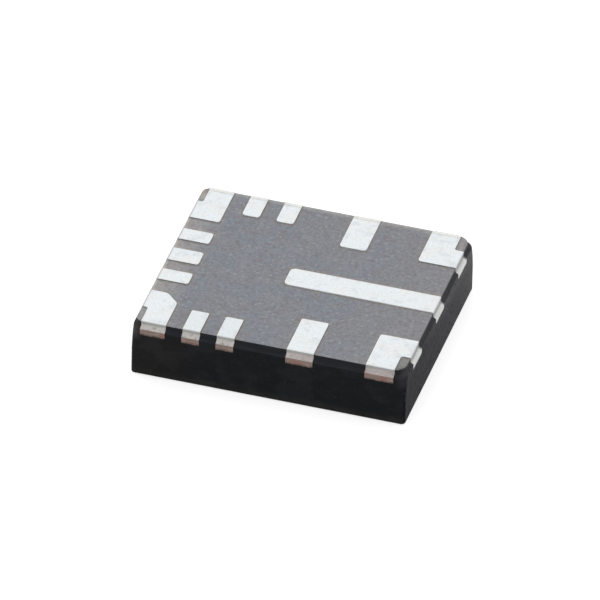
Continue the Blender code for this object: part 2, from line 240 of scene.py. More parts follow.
# %% Joining and cutting
def combine(piece, operation, tools):
    """Join, cut or keep the common part with other pieces, which are used up."""
    for tool in tools:
        take(piece)
        modifier = piece.modifiers.new("combine", "BOOLEAN")
        modifier.operation = operation
        modifier.solver = "EXACT"
        modifier.object = tool
        bpy.ops.object.modifier_apply(modifier=modifier.name)
        bpy.data.objects.remove(tool, do_unlink=True)
    return piece


def twin(piece, name):
    """A copy with a mesh of its own."""
    copied = piece.copy()
    copied.data = piece.data.copy()
    copied.name = name
    bpy.context.scene.collection.objects.link(copied)
    return copied


def soften(piece, width, segments=2, angle=35.0):
    """Round every sharp edge a little, as etching, plating or tumbling does."""
    take(piece)
    modifier = piece.modifiers.new("soften", "BEVEL")
    modifier.width = width
    modifier.segments = segments
    modifier.limit_method = "ANGLE"
    modifier.angle_limit = math.radians(angle)
    modifier.harden_normals = False
    bpy.ops.object.modifier_apply(modifier=modifier.name)
    return piece


def clean(piece):
    """Merge points that lie on one another, and give back how many edges stay open."""
    open_up(piece, "VERT")
    bpy.ops.mesh.select_all(action="SELECT")
    bpy.ops.mesh.remove_doubles(threshold=WELD)
    shape = bmesh.from_edit_mesh(piece.data)
    still_open = sum(1 for edge in shape.edges if len(edge.link_faces) != 2)
    rest_hands()
    return still_open


print("helpers for joining are ready")

# %% [markdown]
# ## What the saw leaves
# The chips are moulded in one strip and sawn apart twice: a wide blade first cuts a shallow
# step round the pad face, then a thin one cuts through. So every outer face of the chip, of
# mould and metal alike, belongs to one sawn block: a foot with a narrower head on it, and a
# ledge between them that slopes a little, as a worn blade leaves it. The block is drawn up
# from a box. A bevel rounds its uprights, bisect cuts rings into the foot, and extruding the
# top face makes the ledge and then the head. Each ring's corner is scaled about the sharp
# corner, which changes its radius and nothing else, and then moved where it belongs.

# %% Saw the block
CORNERS = [(x_side, y_side) for x_side in (-1, 1) for y_side in (-1, 1)]


def take_corner(piece, x, y, height, reach):
    """Select the points of one ring round one corner."""
    shape = open_up(piece, "VERT")
    choose(
        piece,
        shape.verts,
        lambda v: abs(v.co.z - height) < CLOSE_BY
        and abs(v.co.x - x) < reach
        and abs(v.co.y - y) < reach,
    )


def widen_corner(piece, x, y, height, old_radius, new_radius):
    """Scale the rounding of one corner about the point where its two sides would meet."""
    take_corner(piece, x, y, height, old_radius + CLOSE_BY)
    factor = new_radius / old_radius
    bpy.ops.transform.resize(value=(factor, factor, 1.0), center_override=(x, y, height))


def raise_top(piece, old_top, new_top):
    """Extrude the top face straight up."""
    shape = open_up(piece, "FACE")
    lowest = old_top - CLOSE_BY
    choose(piece, shape.faces, lambda f: f.normal.z > 0.9 and f.calc_center_median().z > lowest)
    lift = {"value": (0.0, 0.0, new_top - old_top)}
    bpy.ops.mesh.extrude_region_move(TRANSFORM_OT_translate=lift)


def sawn_block(name, top):
    """Foot, ledge and head in one piece; top is how high the head stands."""
    piece = block(name, (-BODY_X, -BODY_Y, 0.0), (BODY_X, BODY_Y, FOOT_Z))
    round_uprights(piece, FOOT_RADIUS, segments=8)
    for height, _ in CORNER_RINGS[:-1]:
        open_up(piece, "FACE")
        bpy.ops.mesh.select_all(action="SELECT")
        bpy.ops.mesh.bisect(plane_co=(0.0, 0.0, height), plane_no=(0.0, 0.0, 1.0))
    for height, radius in CORNER_RINGS[1:]:
        for x_side, y_side in CORNERS:
            widen_corner(piece, x_side * BODY_X, y_side * BODY_Y, height, FOOT_RADIUS, radius)
    ledge_radius = CORNER_RINGS[-1][1]
    raise_top(piece, FOOT_Z, LEDGE_Z)
    for x_side, y_side in CORNERS:
        x, y = x_side * BODY_X, y_side * BODY_Y
        head_x = HEAD_LOW[0] if x_side < 0 else HEAD_HIGH[0]
        head_y = HEAD_LOW[1] if y_side < 0 else HEAD_HIGH[1]
        widen_corner(piece, x, y, LEDGE_Z, ledge_radius, HEAD_RADIUS[x_side])
        take_corner(piece, x, y, LEDGE_Z, HEAD_RADIUS[x_side] + CLOSE_BY)
        bpy.ops.transform.translate(value=(head_x - x, head_y - y, 0.0))
    raise_top(piece, LEDGE_Z, top)
    rest_hands()
    return soften(piece, SAWN_EDGE, angle=40.0)


lead_envelope = sawn_block("lead_envelope", PAD_Z)
print("sawn block:", len(lead_envelope.data.polygons), "faces")

# %% [markdown]
# ## The leads
# The leadframe is etched from copper sheet, so each lead is a flat plate with upright walls
# and small round corners. Its thin fingers, etched to half thickness, run under the die. A
# lead is made as its stock, longer than the chip, and the saw's block then trims it. The same
# stock, a little larger, cuts its room in the mould.

# %% Stock for the straight leads
SIGNAL_WIDTH, MIDDLE_WIDTH, POWER_WIDTH = 0.256, 0.293, 0.393
SIDE_Y_STEP = 0.50
SIDE_INNER_X, SIDE_FINGER_ROOT_X = -1.50, -1.75
ROW_X = (-1.138, -0.638)
ROW_INNER_Y = 1.191
POWER_X = 0.448
POWER_INNER_Y = 0.900
BAR_START_X = -0.237
BAR_HALF_Y = 0.1985
BUMP_X, BUMP_Y, BUMP_STEP = 1.33, 1.04, 0.3
SECOND_ROW_Y = 0.60
FINGER_HALF, POWER_FINGER_HALF = 0.07, 0.135
FINGER_END = 0.085  # metal from the middle of the last small bump to the finger's tip
PAD_RADIUS, BACK_RADIUS, FRONT_RADIUS = 0.045, 0.050, 0.028
BAR_RADIUS, NOTCH_RADIUS, FINGER_RADIUS = 0.08, 0.035, 0.04


def plate(name, low, high, grow, top=OUT_Z):
    """A block of leadframe, grown on all sides but the top where it is to be a cutter."""
    low_x, high_x = sorted((low[0], high[0]))
    low_y, high_y = sorted((low[1], high[1]))
    lowest = (low_x - grow, low_y - grow, LEAD_Z - grow)
    return block(name, lowest, (high_x + grow, high_y + grow, top))


def finger_plate(name, low, high, grow, tip=None):
    """A half-etched finger, round at the corners of its tip under the die."""
    finger = plate(name, low, high, grow, FINGER_Z + grow)
    if tip:
        round_uprights(finger, FINGER_RADIUS + grow, tip, segments=4)
    return finger


def side_stock(name, row, width, grow):
    """One of the three leads at the key end."""
    y = row * SIDE_Y_STEP
    pad = plate(name, (-OUT_X, y - width / 2), (SIDE_INNER_X, y + width / 2), grow)
    round_uprights(pad, PAD_RADIUS + grow, within_body)
    low = (SIDE_FINGER_ROOT_X, y - FINGER_HALF)
    high = (-BUMP_X + FINGER_END, y + FINGER_HALF)
    return combine(pad, "UNION", [finger_plate(name + "_finger", low, high, grow, under_die)])


def row_stock(name, x, width, inner_y, side, finger, grow):
    """A lead on a long side: side is 1 at the back and -1 at the front."""
    pad = plate(name, (x - width / 2, side * inner_y), (x + width / 2, side * OUT_Y), grow)
    round_uprights(pad, (BACK_RADIUS if side > 0 else FRONT_RADIUS) + grow, within_body)
    half, reach = finger
    low, high = (x - half, side * reach), (x + half, side * (inner_y + BODY_Y) / 2)
    return combine(pad, "UNION", [finger_plate(name + "_finger", low, high, grow, under_die)])


def bar_stock(name, grow):
    """The long lead under the middle of the die."""
    bar = plate(name, (BAR_START_X, -BAR_HALF_Y), (OUT_X, BAR_HALF_Y), grow)
    round_uprights(bar, BAR_RADIUS + grow, within_body)
    return bar


print("straight leads can be cut")

# %% [markdown]
# A corner lead is an L round a notch that keeps it off the chip's corner. It is cut from a
# block with a smaller block. Lead 1 has its inner corner cut off aslant as the key that shows
# where the count starts; bisect takes that corner away along a plane.

# %% Stock for the corner leads
CORNER_INNER_Y = 0.910
NOTCH_Y = 1.315
KEY_END = {"inner": 1.510, "notch": 1.870, "bumps": 1, "bump_half": 0.04}
BAR_END = {"inner": 1.402, "notch": 1.820, "bumps": 2, "bump_half": 0.10}
FINGER_LIP = 0.045  # metal round the last bump
KEY_CHAMFER = (0.200, 0.190)
OVERSHOOT = 0.2  # how far a cutter stands out of what it cuts


def cut_key(piece, x, y):
    """Take the inner corner off along a slanting plane."""
    along, across = KEY_CHAMFER
    open_up(piece, "FACE")
    bpy.ops.mesh.select_all(action="SELECT")
    bpy.ops.mesh.bisect(
        plane_co=(x - along, y, 0.0),
        plane_no=(across, along, 0.0),
        clear_outer=True,
        use_fill=True,
    )
    rest_hands()


def corner_pad(name, x_side, y_side, end, keyed, grow):
    """The L of a corner lead; x_side and y_side say which corner of the chip."""
    inner_x, inner_y = x_side * end["inner"], y_side * CORNER_INNER_Y
    pad = plate(name, (inner_x, inner_y), (x_side * OUT_X, y_side * OUT_Y), grow)
    if keyed:
        cut_key(pad, inner_x + grow, inner_y + grow)
    round_uprights(pad, PAD_RADIUS + grow, within_body)
    notch_x, notch_y = x_side * (end["notch"] + grow), y_side * (NOTCH_Y + grow)
    hole = block(
        name + "_notch",
        (notch_x, notch_y, LEAD_Z - OVERSHOOT),
        (x_side * (OUT_X + OVERSHOOT), y_side * (OUT_Y + OVERSHOOT), OUT_Z + OVERSHOOT),
    )
    round_uprights(hole, NOTCH_RADIUS - grow, near(notch_x, notch_y), segments=4)
    return combine(pad, "DIFFERENCE", [hole])


def corner_stock(name, x_side, y_side, end, keyed, grow):
    """The L and its bent finger, which leaves the L at a knee and runs to the last bump."""
    pad = corner_pad(name, x_side, y_side, end, keyed, grow)
    tip_x = BUMP_X - BUMP_STEP * (end["bumps"] - 1) - end["bump_half"] - FINGER_LIP
    knee_x = (end["inner"] + end["notch"]) / 2
    knee_y = (CORNER_INNER_Y + NOTCH_Y) / 2
    finger = finger_plate(
        name + "_finger",
        (x_side * tip_x, y_side * (BUMP_Y - FINGER_HALF)),
        (x_side * (knee_x + FINGER_HALF), y_side * (BUMP_Y + FINGER_HALF)),
        grow,
        under_die,
    )
    knee = finger_plate(
        name + "_knee",
        (x_side * (knee_x - FINGER_HALF), y_side * (min(knee_y, BUMP_Y) - FINGER_HALF)),
        (x_side * (knee_x + FINGER_HALF), y_side * (max(knee_y, BUMP_Y) + FINGER_HALF)),
        grow,
    )
    return combine(pad, "UNION", [finger, knee])


print("corner leads can be cut")

# %% Cut all fourteen leads
SIGNAL_FINGER = (FINGER_HALF, BUMP_Y - FINGER_END)
POWER_FINGER = (POWER_FINGER_HALF, SECOND_ROW_Y - FINGER_END)


def lead_stock(number, grow):
    """The stock of one lead, by its number."""
    name = f"stock_{number:02d}"
    if number in (2, 3, 4):
        width = MIDDLE_WIDTH if number == 3 else SIGNAL_WIDTH
        return side_stock(name, number - 3, width, grow)
    if number in (6, 7, 13, 14):
        side = 1 if number < 10 else -1
        x = ROW_X[0] if number in (6, 14) else ROW_X[1]
        return row_stock(name, x, SIGNAL_WIDTH, ROW_INNER_Y, side, SIGNAL_FINGER, grow)
    if number in (8, 12):
        side = 1 if number == 8 else -1
        return row_stock(name, POWER_X, POWER_WIDTH, POWER_INNER_Y, side, POWER_FINGER, grow)
    if number == 10:
        return bar_stock(name, grow)
    end = KEY_END if number in (1, 5) else BAR_END
    x_side = -1 if number in (1, 5) else 1
    y_side = 1 if number in (5, 9) else -1
    return corner_stock(name, x_side, y_side, end, number == 1, grow)


cad_leads = sorted(name for name in frame["nodes"] if name.startswith("lead_"))
lead_pieces = []
open_edges = 0
for cad_name in cad_leads:
    number = int(cad_name.split("_")[1])
    piece = lead_stock(number, 0.0)
    combine(piece, "INTERSECT", [twin(lead_envelope, "trim")])
    soften(piece, ETCHED_EDGE)
    open_edges += clean(piece)
    piece.name = f"plated_lead_{number:02d}"
    piece["stands_for"] = cad_name
    lead_pieces.append(piece)
print("leads:", len(lead_pieces), "with", sum(len(p.data.polygons) for p in lead_pieces), "faces")
print("open edges on the leads:", open_edges)

# %% [markdown]
# ## The mould
# The black compound fills all that the metal and the silicon leave free. It stands a little
# lower than the pads. So it is the sawn block, with a lower head, less the room of each lead,
# of the die and of each bump. The rooms of the hidden pieces are taken from their own boxes,
# and a bump's room runs on into the next one's, so that the mould is one body.

# %% Cast the mould
INTO_DIE, INTO_CAP, INTO_LEAD = 0.03, 0.01, 0.03
ROUND_SHORTFALL = 0.0005  # keeps a round end from closing on itself


def room_for(node):
    """A cutter round a hidden piece, round at its ends where that is a bump."""
    low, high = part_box(node)
    low = [value / MM - FIT_GAP for value in low]
    high = [value / MM + FIT_GAP for value in high]
    if node.startswith("copper_pillar"):
        low[2] -= INTO_DIE
        high[2] += INTO_CAP
    if node.startswith("solder_cap"):
        high[2] += INTO_LEAD
    room = block(node + "_room", low, high)
    if node != "silicon_die":
        width = min(high[0] - low[0], high[1] - low[1])
        round_uprights(room, width / 2 - ROUND_SHORTFALL, segments=8)
    return room


mould = sawn_block("moulded_body", MOULD_Z)
combine(mould, "DIFFERENCE", [lead_stock(int(n.split("_")[1]), FIT_GAP) for n in cad_leads])
hidden = sorted(n for n in frame["nodes"] if n.startswith(("silicon", "copper", "solder")))
combine(mould, "DIFFERENCE", [room_for(node) for node in hidden])
bpy.data.objects.remove(lead_envelope, do_unlink=True)
print("mould:", len(mould.data.polygons), "faces,", len(hidden), "rooms for hidden pieces")

# %% [markdown]
# ## From the bench to the chip
# The finished pieces shrink from bench millimetres to metres, and the scale is applied, so
# that each piece's place is in its mesh. Shading is smooth over the round parts and sharp at
# the corners.

# %% Bring the pieces to size
SMOOTH_UNDER = math.radians(20.0)

for piece in lead_pieces + [mould]:
    take(piece)
    piece.scale = (MM, MM, MM)
    bpy.ops.object.transform_apply(location=True, rotation=True, scale=True)
    bpy.ops.object.shade_smooth_by_angle(angle=SMOOTH_UNDER)
    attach(piece, "root")
for piece in lead_pieces:
    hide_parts(piece["stands_for"])
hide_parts("mould_body")
rest_hands()
print("pieces stand for", 1 + len(lead_pieces), "CAD nodes")

# %% [markdown]
# ## Finishes
# Every finish is made of nodes that read the chip's own coordinates. Effects that more than
# one finish needs are node groups with named inputs: a grain, rare flecks, soft patches, the
# marks of a saw, and a halo round a box. Sizes in them are in millimetres.

# %% Helpers for nodes
PER_MM = 1000.0
X, Y, Z = 0, 1, 2


def add_node(tree, kind, values=None, **settings):
    """A node with its settings made; values are numbers for inputs or sockets to link."""
    node = tree.nodes.new(kind)
    for key, value in settings.items():
        setattr(node, key, value)
    for key, value in (values or {}).items():
        if isinstance(value, bpy.types.NodeSocket):
            tree.links.new(value, node.inputs[key])
        else:
            node.inputs[key].default_value = value
    return node


def calculate(tree, operation, first, second=0.0, clamp=False):
    """A Math node's result."""
    values = {0: first, 1: second}
    node = add_node(tree, "ShaderNodeMath", values, operation=operation, use_clamp=clamp)
    return node.outputs[0]


def ramp(tree, value, low, high, out_low=0.0, out_high=1.0):
    """Smooth change from one number to another while the value goes from low to high."""
    values = {"Value": value, 1: low, 2: high, 3: out_low, 4: out_high}
    node = add_node(tree, "ShaderNodeMapRange", values, interpolation_type="SMOOTHSTEP")
    return node.outputs[0]


def blend(tree, mask, first, second):
    """The first colour where the mask is nought, and the second where it is one."""
    node = add_node(tree, "ShaderNodeMix", {0: mask}, data_type="RGBA")
    for socket, value in ((node.inputs[6], first), (node.inputs[7], second)):
        if isinstance(value, bpy.types.NodeSocket):
            tree.links.new(value, socket)
        else:
            socket.default_value = (*value, 1.0)
    return node.outputs[2]


def layer(tree, colour, mask, tone, strength=1.0):
    """A tone laid over a colour through a mask, in part where the strength is below one."""
    if strength < 1.0:
        mask = calculate(tree, "MULTIPLY", mask, strength)
    return blend(tree, mask, colour, tone)


def chip_place(tree):
    """The chip's own coordinates, in metres."""
    return add_node(tree, "ShaderNodeTexCoord").outputs["Object"]


print("helpers for nodes are ready")

# %% Helpers for groups
def new_group(name, inputs, output):
    """An empty node group with float inputs and one float output."""
    tree = bpy.data.node_groups.new(name, "ShaderNodeTree")
    for title, value in inputs.items():
        socket = tree.interface.new_socket(name=title, in_out="INPUT", socket_type="NodeSocketFloat")
        socket.default_value = value
    tree.interface.new_socket(name=output, in_out="OUTPUT", socket_type="NodeSocketFloat")
    entry = tree.nodes.new("NodeGroupInput")
    leave = tree.nodes.new("NodeGroupOutput")
    return tree, entry.outputs, leave.inputs[output]


def use_group(tree, group, **values):
    """A group placed in a material; underscores in the names of its inputs are spaces."""
    node = tree.nodes.new("ShaderNodeGroup")
    node.node_tree = group
    for key, value in values.items():
        node.inputs[key.replace("_", " ")].default_value = value
    return node.outputs[0]


def about_one(tree, noise, spread):
    """Noise stretched to vary about one; most of it stays within the spread."""
    low = calculate(tree, "SUBTRACT", 1.0, spread)
    high = calculate(tree, "ADD", 1.0, spread)
    values = {"Value": noise, 1: 0.30, 2: 0.70, 3: low, 4: high}
    return add_node(tree, "ShaderNodeMapRange", values, clamp=False).outputs[0]


print("helpers for groups are ready")

# %% Grain and flecks
def make_grain():
    """A number about one that varies from grain to grain."""
    tree, given, result = new_group("fine_grain", {"Size": 0.03, "Spread": 0.1}, "Factor")
    scale = calculate(tree, "DIVIDE", PER_MM, given["Size"])
    values = {"Vector": chip_place(tree), "Scale": scale, "Detail": 2.0, "Roughness": 0.6}
    noise = add_node(tree, "ShaderNodeTexNoise", values)
    tree.links.new(about_one(tree, noise.outputs[0], given["Spread"]), result)
    return tree


def make_flecks():
    """A mask of round flecks in a share of the cells of a loose pattern."""
    tree, given, result = new_group("flecks", {"Size": 0.05, "Share": 0.2}, "Mask")
    scale = calculate(tree, "DIVIDE", PER_MM, given["Size"])
    values = {"Vector": chip_place(tree), "Scale": scale}
    cells = add_node(tree, "ShaderNodeTexVoronoi", values)
    dot = ramp(tree, cells.outputs["Distance"], 0.20, 0.55, 1.0, 0.0)
    chance = add_node(tree, "ShaderNodeSeparateColor", {0: cells.outputs["Color"]}).outputs[0]
    picked = calculate(tree, "LESS_THAN", chance, given["Share"])
    tree.links.new(calculate(tree, "MULTIPLY", dot, picked), result)
    return tree


grain_group = make_grain()
flecks_group = make_flecks()
print("groups:", grain_group.name, flecks_group.name)

# %% Patches and saw marks
MOST_NOISE, NOISE_PER_AMOUNT = 0.70, -0.4
PATCH_EDGE = 0.08
ALONG_THE_CUT = (0.12, 0.12, 1.0)


def make_patches():
    """A mask of soft uneven patches; Amount is about the share they cover."""
    tree, given, result = new_group("soft_patches", {"Size": 0.5, "Amount": 0.4}, "Mask")
    scale = calculate(tree, "DIVIDE", PER_MM, given["Size"])
    values = {"Vector": chip_place(tree), "Scale": scale, "Detail": 3.0, "Distortion": 0.4}
    noise = add_node(tree, "ShaderNodeTexNoise", values)
    level = calculate(tree, "MULTIPLY_ADD", given["Amount"], NOISE_PER_AMOUNT)
    level.node.inputs[2].default_value = MOST_NOISE
    above = calculate(tree, "SUBTRACT", noise.outputs[0], level)
    tree.links.new(ramp(tree, above, -PATCH_EDGE, PATCH_EDGE), result)
    return tree


def make_saw_marks():
    """A number about one that runs in streaks along the cut, as a blade leaves them."""
    tree, given, result = new_group("saw_marks", {"Pitch": 0.02, "Spread": 0.1}, "Factor")
    scale = calculate(tree, "DIVIDE", PER_MM, given["Pitch"])
    values = {0: chip_place(tree), 1: ALONG_THE_CUT}
    drawn_out = add_node(tree, "ShaderNodeVectorMath", values, operation="MULTIPLY")
    values = {"Vector": drawn_out.outputs[0], "Scale": scale, "Detail": 2.0}
    noise = add_node(tree, "ShaderNodeTexNoise", values)
    tree.links.new(about_one(tree, noise.outputs[0], given["Spread"]), result)
    return tree


patches_group = make_patches()
saw_group = make_saw_marks()
print("groups:", patches_group.name, saw_group.name)

# %% A halo round a box
def make_halo():
    """A mask that is one at a box in plan and falls to nought at Width outside it."""
    inputs = {"Centre X": 0.0, "Centre Y": 0.0, "Half X": 0.1, "Half Y": 0.1, "Width": 0.1}
    tree, given, result = new_group("halo", inputs, "Mask")
    place = add_node(tree, "ShaderNodeSeparateXYZ", {0: chip_place(tree)})
    squares = []
    for axis, middle, half in ((X, "Centre X", "Half X"), (Y, "Centre Y", "Half Y")):
        in_mm = calculate(tree, "MULTIPLY", place.outputs[axis], PER_MM)
        offset = calculate(tree, "ABSOLUTE", calculate(tree, "SUBTRACT", in_mm, given[middle]))
        past_half = calculate(tree, "SUBTRACT", offset, given[half])
        outside = calculate(tree, "MAXIMUM", past_half, 0.0)
        squares.append(calculate(tree, "MULTIPLY", outside, outside))
    distance = calculate(tree, "SQRT", calculate(tree, "ADD", *squares))
    share = calculate(tree, "DIVIDE", distance, given["Width"])
    tree.links.new(ramp(tree, share, 0.0, 1.0, 1.0, 0.0), result)
    return tree


halo_group = make_halo()
print("group:", halo_group.name)

# %% [markdown]
# A finish starts as a material whose Principled shader has its plain numbers set. The colour
# then comes in layers: a ground colour, patches of another, tones laid over them where a mask
# says so, and grain over all. The same grain gives the surface a low relief.

# %% Helpers for finishes
def new_finish(name, roughness, metallic, specular=0.5):
    """A material, its tree and its shader, with the numbers that hold all over."""
    material = bpy.data.materials.new(name)
    material.use_nodes = True
    tree = material.node_tree
    shader = tree.nodes["Principled BSDF"]
    shader.inputs["Roughness"].default_value = roughness
    shader.inputs["Metallic"].default_value = metallic
    shader.inputs["Specular IOR Level"].default_value = specular
    return material, tree, shader


def shade_by(tree, colour, factor):
    """A colour times a number."""
    scaled = add_node(tree, "ShaderNodeVectorMath", {0: colour, 3: factor}, operation="SCALE")
    return scaled.outputs[0]


def connect(tree, shader, colour, texture, mask, smooth, rough):
    """Colour times texture, and a roughness that goes from one number to another by a mask."""
    tree.links.new(shade_by(tree, colour, texture), shader.inputs["Base Color"])
    tree.links.new(ramp(tree, mask, 0.0, 1.0, smooth, rough), shader.inputs["Roughness"])


def relief(tree, shader, height, depth, strength=0.5):
    """Bump from a height that varies about one; depth is in metres."""
    values = {"Height": height, "Distance": depth, "Strength": strength}
    bump = add_node(tree, "ShaderNodeBump", values)
    tree.links.new(bump.outputs[0], shader.inputs["Normal"])


def patches(tree, size, amount):
    """A mask of soft patches in a material."""
    return use_group(tree, patches_group, Size=size, Amount=amount)


def beyond(tree, axis, low, high):
    """A mask that rises along one axis, between two places in millimetres."""
    place = add_node(tree, "ShaderNodeSeparateXYZ", {0: chip_place(tree)})
    return ramp(tree, place.outputs[axis], low * MM, high * MM)


def halo_at(tree, centre, half, width):
    """A halo round a box that is given by its centre and half its size in plan."""
    return use_group(
        tree, halo_group,
        Centre_X=centre[0], Centre_Y=centre[1], Half_X=half[0], Half_Y=half[1], Width=width,
    )


print("helpers for finishes are ready")

# %% [markdown]
# Tin covers the pads and what the first saw left of the leads' sides. On the pads it is pale
# and hardly varies: a thin film dulls leads 13 and 14, a darker line and a warmer rim run
# along the back edge, and painted shade darkens the ends at the left. In the step it is much
# duller and mottled, with painted shade on its walls; painted light brightens its ledge at the
# right end and the step at the left and back, and painted shade lies at each lead's back edge
# at the right end.

# %% Tin on the pads
def make_tin():
    """The plating on the pads: pale, finely grained, a little creamy in patches."""
    material, tree, shader = new_finish("matte_tin", 0.5, 0.35)
    colour = blend(tree, patches(tree, 0.22, 0.42), (0.735, 0.775, 0.800), (0.745, 0.763, 0.755))
    dull = patches(tree, 0.14, 0.28)
    colour = layer(tree, colour, dull, (0.712, 0.746, 0.768))
    film = halo_at(tree, (-0.88, -1.45), (0.36, 0.20), 0.20)
    colour = layer(tree, colour, film, (0.690, 0.725, 0.740), 0.8)
    back_rim = beyond(tree, Y, 1.608, 1.626)
    colour = layer(tree, colour, back_rim, (0.755, 0.735, 0.705), 0.8)
    line_start, line_end = beyond(tree, Y, 1.580, 1.600), beyond(tree, Y, 1.628, 1.608)
    back_line = calculate(tree, "MULTIPLY", line_start, line_end)
    colour = layer(tree, colour, back_line, (0.50, 0.49, 0.47), 0.50)
    # Painted shade darkens the pads' left edges.
    left_edge_shade = beyond(tree, X, -1.928, -1.950)
    colour = layer(tree, colour, left_edge_shade, (0.46, 0.45, 0.45), 0.80)
    grain = use_group(tree, grain_group, Size=0.040, Spread=0.065)
    connect(tree, shader, colour, grain, dull, 0.46, 0.58)
    relief(tree, shader, grain, 2.0e-6)
    return material


tin = make_tin()
print("tin:", tin.name)

# %% Tin in the step
def make_step_tin():
    """Tin in the sawn step, duller than the pads and mottled, with painted shade on its walls;
    painted light makes it lighter at three ends.
    """
    material, tree, shader = new_finish("step_tin", 0.5, 0.3)
    # The upper part of the step wall is darker with painted shade, and the ledge band below is
    # lighter.
    lower = beyond(tree, Z, PAD_Z - 0.044, PAD_Z - 0.070)
    pinker = beyond(tree, X, -0.4, 0.9)
    band = blend(tree, pinker, (0.590, 0.560, 0.530), (0.500, 0.445, 0.435))
    front = blend(tree, lower, (0.370, 0.368, 0.355), band)
    mottled = patches(tree, 0.06, 0.30)
    mottled_band = calculate(tree, "MULTIPLY", mottled, lower)
    front = layer(tree, front, mottled_band, (0.40, 0.37, 0.34))
    # At the right end the ledge is bright with painted light and the wall above it is dark with
    # painted shade.
    ledge = beyond(tree, X, HEAD_HIGH[0] + 0.004, HEAD_HIGH[0] + 0.019)
    bar_end = blend(tree, ledge, (0.400, 0.400, 0.395), (0.710, 0.725, 0.710))
    # Painted shade darkens the right end at each lead's back edge.
    for back_edge in (NOTCH_Y, BAR_HALF_Y, -CORNER_INNER_Y):
        painted_back_shade = halo_at(tree, (2.0, back_edge), (0.03, 0.010), 0.050)
        bar_end = layer(tree, bar_end, painted_back_shade, (0.085, 0.080, 0.066), 0.9)
    colour = layer(tree, front, beyond(tree, X, 1.90, 1.94), bar_end)
    # Painted light makes the step lighter at the left end and along the back.
    colour = layer(tree, colour, beyond(tree, X, -1.92, -1.95), (0.530, 0.550, 0.570))
    colour = layer(tree, colour, beyond(tree, Y, 1.60, 1.66), (0.600, 0.600, 0.590))
    grain = use_group(tree, grain_group, Size=0.030, Spread=0.10)
    connect(tree, shader, colour, grain, mottled, 0.45, 0.60)
    relief(tree, shader, grain, 2.0e-6)
    return material


step_tin = make_step_tin()
print("tin in the step:", step_tin.name)

# %% [markdown]
# The second saw went through bare copper. At the front it is brown, darkened with painted
# shade, redder in patches and dark at its ragged foot. At the right end the blade dragged tin
# down over it, which stops a little above the copper's foot, and painted light brightens it.

# %% Sawn copper
def make_copper():
    """Copper cut by the saw: brown with painted shade at the front, smeared over with tin and
    brightened with painted light at the bar end.
    """
    material, tree, shader = new_finish("sawn_copper", 0.5, 0.4)
    # The copper's base colour is partly painted shade, darker for the front ends that face away from
    # the light.
    red = patches(tree, 0.13, 0.40)
    colour = blend(tree, red, (0.205, 0.154, 0.135), (0.268, 0.150, 0.122))
    smeared = patches(tree, 0.16, 0.30)
    colour = layer(tree, colour, smeared, (0.250, 0.180, 0.155))
    ragged = use_group(tree, grain_group, Size=0.05, Spread=0.8)
    low_down = beyond(tree, Z, LEAD_Z + 0.040, LEAD_Z)
    foot = calculate(tree, "MULTIPLY", low_down, ragged, clamp=True)
    colour = layer(tree, colour, foot, (0.045, 0.030, 0.026))
    # The right end is pale grey tin, made brighter with painted light from the right.
    tin_and_light_height = beyond(tree, Z, FOOT_Z - 0.088, FOOT_Z - 0.062)
    tin_smear_and_light = blend(tree, tin_and_light_height, (0.060, 0.050, 0.045), (0.680, 0.695, 0.680))
    colour = layer(tree, colour, beyond(tree, X, 1.90, 1.94), tin_smear_and_light)
    streaks = use_group(tree, saw_group, Pitch=0.016, Spread=0.16)
    connect(tree, shader, colour, streaks, red, 0.45, 0.60)
    relief(tree, shader, streaks, 1.5e-6)
    return material


copper = make_copper()
print("copper:", copper.name)

# %% [markdown]
# The compound is the same all through, but its skin isn't. On the pad face the mould's film
# left it grey, with pale filler grains, dark pits, and bluish and brownish clouds. Round the
# pads lie a broad brown halo, a fringe at their back edges and a thin line of painted shadow
# at their front edges. It is paler towards the left end and along the back rim with painted
# highlight, the four notches have tones of their own that are partly painted light, lighter
# towards the back left, and the front right corner is darkened with painted shade.

# %% Pads and notches in plan
PAD_BOXES = (  # centre X and Y and half size of each pad; lead 1 has two, clear of its key
    (-1.8375, -1.28, 0.1275, 0.37), (-1.74, -1.375, 0.225, 0.275),
    (-1.74, -0.50, 0.235, 0.128), (-1.74, 0.0, 0.235, 0.147),
    (-1.74, 0.50, 0.235, 0.128), (-1.74, 1.30, 0.225, 0.385), (-1.138, 1.44, 0.128, 0.25),
    (-0.638, 1.44, 0.128, 0.25), (0.448, 1.30, 0.197, 0.40), (1.70, 1.30, 0.29, 0.385),
    (0.87, 0.0, 1.105, 0.199), (1.70, -1.28, 0.29, 0.37), (0.448, -1.28, 0.197, 0.375),
    (-0.638, -1.43, 0.128, 0.235), (-1.138, -1.43, 0.128, 0.235),
)
# The notch tones are partly painted light.
NOTCHES = (  # centre, half width and tone
    ((-1.915, -1.48), 0.10, (0.430, 0.424, 0.418)),
    ((-1.905, 1.46), 0.06, (0.630, 0.590, 0.530)),
    ((1.880, 1.48), 0.10, (0.440, 0.416, 0.414)),
    ((1.880, -1.48), 0.10, (0.305, 0.315, 0.302)),
)


def pad_halos(tree, width, forward=0.0):
    """One mask for the surroundings of all pads, moved a little to the front if so told."""
    mask = 0.0
    for x, y, half_x, half_y in PAD_BOXES:
        halo = halo_at(tree, (x, y - forward), (half_x, half_y), width)
        mask = calculate(tree, "MAXIMUM", halo, mask)
    return mask


print("boxes of pads:", len(PAD_BOXES), "and notches:", len(NOTCHES))

